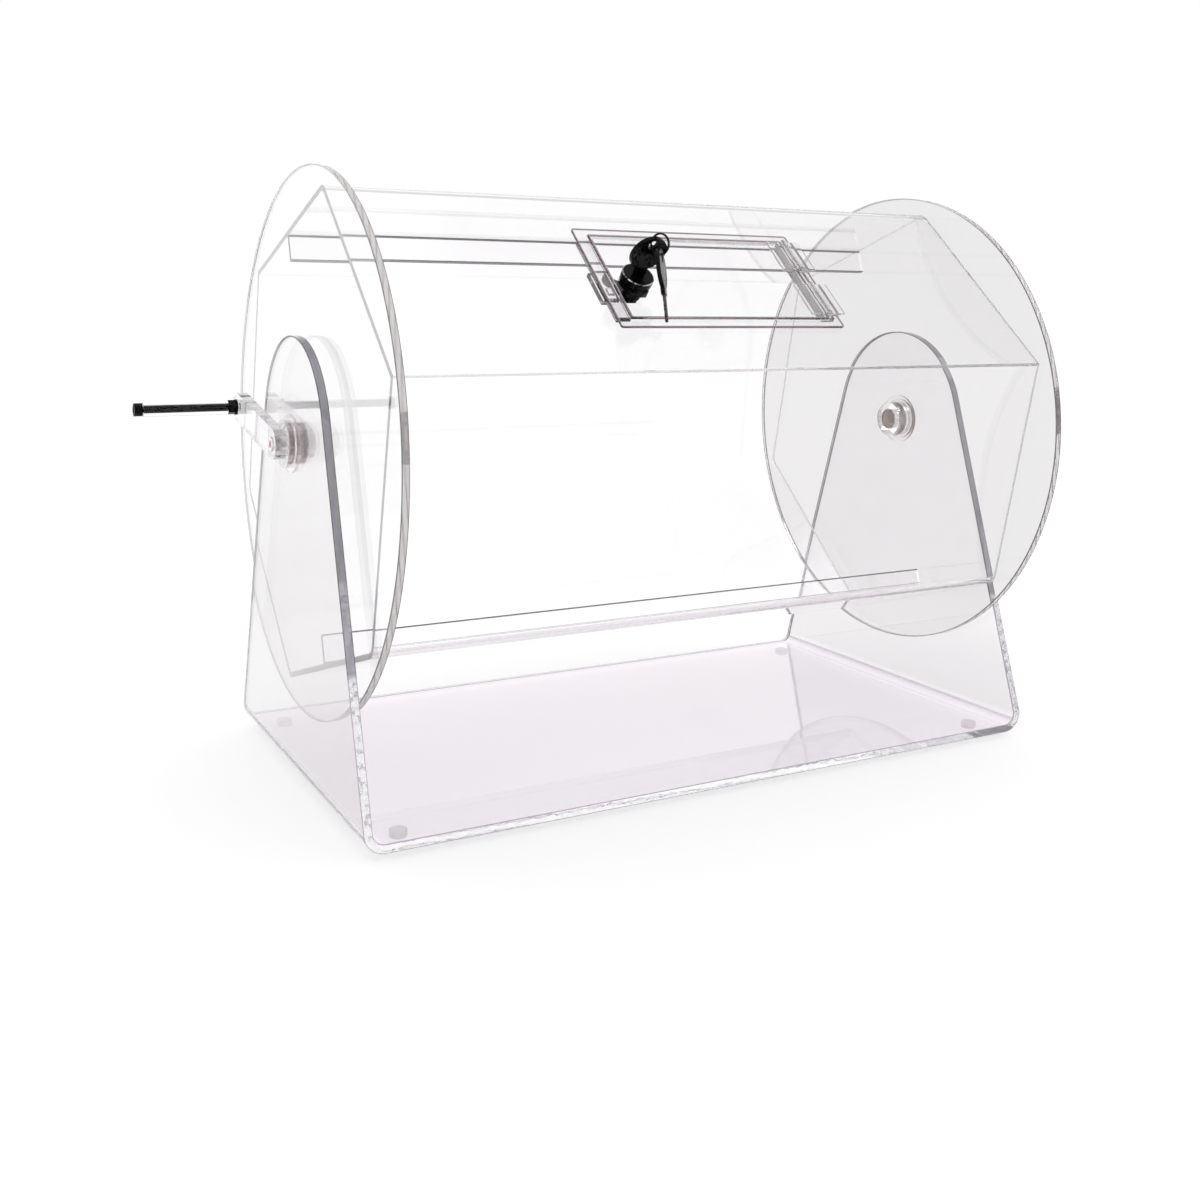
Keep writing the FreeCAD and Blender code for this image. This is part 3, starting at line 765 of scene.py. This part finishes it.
def make_cut_blade(material):
    """Blade section (w cos s, h sin s) squared off, grooved on both sides, with cuts in one edge."""
    bow, blade = middle("spare_key_bow"), middle("spare_key_blade")
    corners = triangles("spare_key_blade").reshape(-1, 3)
    flat_way = thin_axis("spare_key_blade")
    long_way = blade - bow
    long_way -= flat_way * (long_way @ flat_way)
    long_way /= np.linalg.norm(long_way)
    wide_way = np.cross(flat_way, long_way)
    reach = (corners - blade) @ long_way
    sideways = (corners - blade) @ wide_way
    wide_mid = (sideways.max() + sideways.min()) / 2
    along = np.linspace(0.0, reach.max() - reach.min(), blade_steps)[:, None]
    length = along.max()
    s = np.linspace(0.0, math.tau, blade_corners, endpoint=False)[None, :]
    tip = np.clip((length - along) / blade_half_width, blade_tip_least, 1.0)
    drift = blade_cut_drift * np.sin(math.tau * along / blade_cut_drift_pitch)
    wave = 0.5 - 0.5 * np.cos(math.tau * along / blade_cut_pitch + drift)
    after_start = smooth((along - blade_cut_start) / blade_cut_fade)
    before_end = smooth((length - blade_cut_end - along) / blade_cut_fade)
    cut = blade_cut_depth * np.minimum(1.0, blade_cut_slope * wave) * after_start * before_end
    wide = squared(np.cos(s), blade_square)
    thick = squared(np.sin(s), blade_square)
    groove = blade_groove * np.exp(-((wide - blade_groove_place) / blade_groove_spread) ** 2)
    w = wide * blade_half_width * tip - np.where(wide > 0, wide * cut, 0.0)
    h = thick * (blade_half_sheet - groove)
    start = blade + long_way * reach.min() + wide_way * wide_mid
    rings = start + along[..., None] * long_way + w[..., None] * wide_way + h[..., None] * flat_way
    piece = shell("spare_key_cut_blade", rings)
    stands_for(piece, "spare_key_blade", "spare_key", material)


# --- Dressing the solids --------------------------------------------------------------------------
def dress(names, material):
    for name in names:
        node = frame["nodes"][name]
        node.data.materials.clear()
        node.data.materials.append(material)


def starting(*starts):
    return [name for name in frame["nodes"] if name.startswith(starts)]


def dress_sheets():
    """The stand, the end discs and the drum's walls."""
    dress(["stand_sheet"], clear_stand("bent_stand_sheet", **stand_look))
    dress(["left_disc"], clear_disc("left_disc", **left_disc_look, matt_and_shade=left_disc_matt_and_shade))
    # Painted shade: the right disc's look is a darker copy of the left disc's.
    dress(["right_disc"], clear_disc("right_disc", **shaded_right_disc_look, matt_and_shade=right_disc_matt_and_shade))
    for name in ("upper_sheet", "front_sheet", "rear_sheet"):
        dress([name], clear_wall(name, **wall_look))


def dress_plates():
    """Small flat pieces, with a painted shade line inside their outline."""
    for name in starting("baffle"):
        lines = across_plate(name, ends=False)
        dress([name], clear_sheet(name + "_fin", broad_sides([name]), **fin_look, **lines))
    for name in ("door_panel", "door_surround"):
        sides = broad_sides(["door_panel"])
        dress([name], clear_sheet(name + "_sheet", sides, **door_look, **across_plate(name)))
    for name in ("hinge_strip", "latch_strip", "latch_keeper"):
        sides = broad_sides([name])[:1]
        dress([name], clear_sheet(name + "_block", sides, **strip_look, **across_plate(name)))


def dress_turned():
    """The axle, its rings, the crank and its sleeve, whose broad side is a round one."""
    near = ["crank_hub", "axle_tube_left", "bearing_ring_left"]
    far = ["retaining_collar", "axle_tube_right", "bearing_ring_right"]
    dress(near, clear_sheet("crank_end_acrylic", [x_axis], **crank_end_look, drift=fainter_streak_tint))
    # Painted shade: the far end gets a darker copy of the crank end's acrylic.
    dress(far, clear_sheet("shaded_far_end_acrylic", [x_axis], **shaded_far_end_look, drift=fainter_streak_tint))
    dress(["crank_arm"], clear_sheet("arm_acrylic", [x_axis], **arm_look, ripple=arm_ripple))
    dress(["axle_plug"], clear_sheet("plug_acrylic", [x_axis], **plug_look))
    turns = np.arange(round_ways) * math.pi / round_ways
    round_side = [(0.0, math.cos(turn), math.sin(turn)) for turn in turns]
    dress(["handle_grip"], clear_sheet("grip_sleeve", round_side, **arm_look, ior=sleeve_ior))


def dress_hinges():
    leaves = starting("hinge_pad", "hinge_fixed", "hinge_door")
    sides = broad_sides(["hinge_pad_upper"])
    dress(leaves, clear_sheet("hinge_moulding", sides, **hinge_look, ripple=hinge_ripple))
    dress(starting("hinge_pin"), grained("pin_steel", **pin_steel))


def dress_hardware():
    dress(starting("foot"), clear_sheet("bumper_rubber", [z_axis], **bumper_look, ior=bumper_ior))
    dress(["crank_screw"], grained("screw_metal", **screw_metal))
    dress(["handle_bolt"], grained("black_bolt", **bolt_enamel, height=bolt_height, depth=knurl_depth))
    dress(["handle_nut", "handle_washer"], grained("black_nut", **nut_enamel))
    casting = worn_and_highlit_casting("black_lock_casting", black, bare_metal_highlight, lock_axis())
    dress([*starting("lock_"), "cam_nut"], casting)


def dress_keys():
    for key in ("", "spare_"):
        bow = key + "key_bow"
        height = bow_height(bow, key + "key_blade")
        dress([bow], grained(bow + "_moulding", **bow_plastic, height=height, depth=bow_rim_height))
    blade_finish = grained("key_steel", **blade_steel)
    dress(["key_blade", "spare_key_blade"], blade_finish)
    ring_finish = grained("ring_steel", **ring_steel)
    dress(["key_ring"], ring_finish)
    make_split_ring(ring_finish)
    make_cut_blade(blade_finish)


# --- Studio ---------------------------------------------------------------------------------------
def make_camera():
    """Looks along yaw and pitch, turned by roll about that line."""
    data = bpy.data.cameras.new("camera")
    data.sensor_width = camera_sensor
    data.lens = camera_lens
    data.shift_x, data.shift_y = camera_shift
    camera = bpy.data.objects.new("camera", data)
    bpy.context.scene.collection.objects.link(camera)
    ahead = Vector((
        math.sin(camera_yaw) * math.cos(camera_pitch),
        math.cos(camera_yaw) * math.cos(camera_pitch),
        math.sin(camera_pitch),
    ))
    level = Vector((math.cos(camera_yaw), -math.sin(camera_yaw), 0.0))
    upright = level.cross(ahead)
    right = math.cos(camera_roll) * level + math.sin(camera_roll) * upright
    up = math.cos(camera_roll) * upright - math.sin(camera_roll) * level
    turn = Matrix((right, up, -ahead)).transposed()
    camera.matrix_world = Matrix.Translation(camera_place) @ turn.to_4x4()
    bpy.context.scene.camera = camera


def window(tree, direction, towards):
    """1 inside a small cone about a direction."""
    unit = tuple(Vector(towards).normalized())
    lined_up = vectors(tree, "DOT_PRODUCT", direction, unit, "Value")
    return smooth_step(tree, lined_up, window_width - window_border, window_width)


def make_world():
    """Plain light, white behind, and for gloss and glass a darker band above and two windows."""
    world = bpy.data.worlds.new("studio")
    bpy.context.scene.world = world
    world.use_nodes = True
    tree = world.node_tree
    tree.nodes.clear()
    path = tree.nodes.new("ShaderNodeLightPath").outputs
    clear_path = maths(tree, "MAXIMUM", path["Is Glossy Ray"], path["Is Transmission Ray"])
    not_floor = maths(tree, "LESS_THAN", path["Diffuse Depth"], 0.5)
    seen = maths(tree, "MULTIPLY", clear_path, not_floor)
    direction = add(tree, "TexCoord", output="Generated")
    height = add(tree, "SeparateXYZ", {0: direction}, "Z")
    dark = smooth_step(tree, height, *studio_dark_height)
    ceiling = smooth_step(tree, height, *studio_ceiling_height)
    level = between(tree, dark, studio_level, studio_dark)
    level = add(tree, "Mix", {0: ceiling, 2: level, 3: studio_ceiling})
    left, right = [window(tree, direction, place) for place in (window_left, window_right)]
    lit = maths(tree, "MAXIMUM", left, right)
    level = add(tree, "Mix", {0: lit, 2: level, 3: studio_window})
    plain = add(tree, "Background", {"Color": white, "Strength": world_level})
    studio = add(tree, "Background", {"Color": white, "Strength": level})
    behind = add(tree, "Background", {"Color": white, "Strength": 1.0})
    reflected = add(tree, "MixShader", {0: seen, 1: plain, 2: studio})
    whole = add(tree, "MixShader", {0: path["Is Camera Ray"], 1: reflected, 2: behind})
    output = tree.nodes.new("ShaderNodeOutputWorld")
    tree.links.new(whole, output.inputs[0])


def make_floor():
    half = floor_size / 2
    mesh = bpy.data.meshes.new("floor")
    corners = [(-half, -half, 0), (half, -half, 0), (half, half, 0), (-half, half, 0)]
    mesh.from_pydata(corners, [], [(0, 1, 2, 3)])
    floor = bpy.data.objects.new("floor", mesh)
    bpy.context.scene.collection.objects.link(floor)
    material, tree, shader = new_material("floor_paper")
    path = tree.nodes.new("ShaderNodeLightPath").outputs
    through = maths(tree, "MAXIMUM", path["Is Transmission Ray"], path["Is Glossy Ray"])
    # Painted light: the floor's glow for glass and gloss rays is brighter within floor_glow_reach of the
    # middle than farther off.
    away = add(tree, "VectorMath", {0: place_of(tree)}, "Value", operation="LENGTH")
    glow = between(tree, smooth_step(tree, away, *floor_glow_reach), *floor_glow_through)
    glow = maths(tree, "MULTIPLY", through, glow)
    glow = maths(tree, "MAXIMUM", glow, maths(tree, "MULTIPLY", path["Is Camera Ray"], floor_glow))
    feed(tree, shader, {
        "Base Color": floor_paper,
        "Roughness": floor_roughness,
        "Specular IOR Level": 0.0,
        "Emission Color": white,
        "Emission Strength": glow,
    })
    mesh.materials.append(material)


def main():
    scene = bpy.context.scene
    scene.view_settings.view_transform = "Standard"
    scene.cycles.max_bounces = clear_bounces
    scene.cycles.transmission_bounces = clear_bounces
    scene.cycles.glossy_bounces = clear_bounces
    dress_sheets()
    dress_plates()
    dress_turned()
    dress_hinges()
    dress_hardware()
    dress_keys()
    make_world()
    make_floor()
    make_camera()


main()
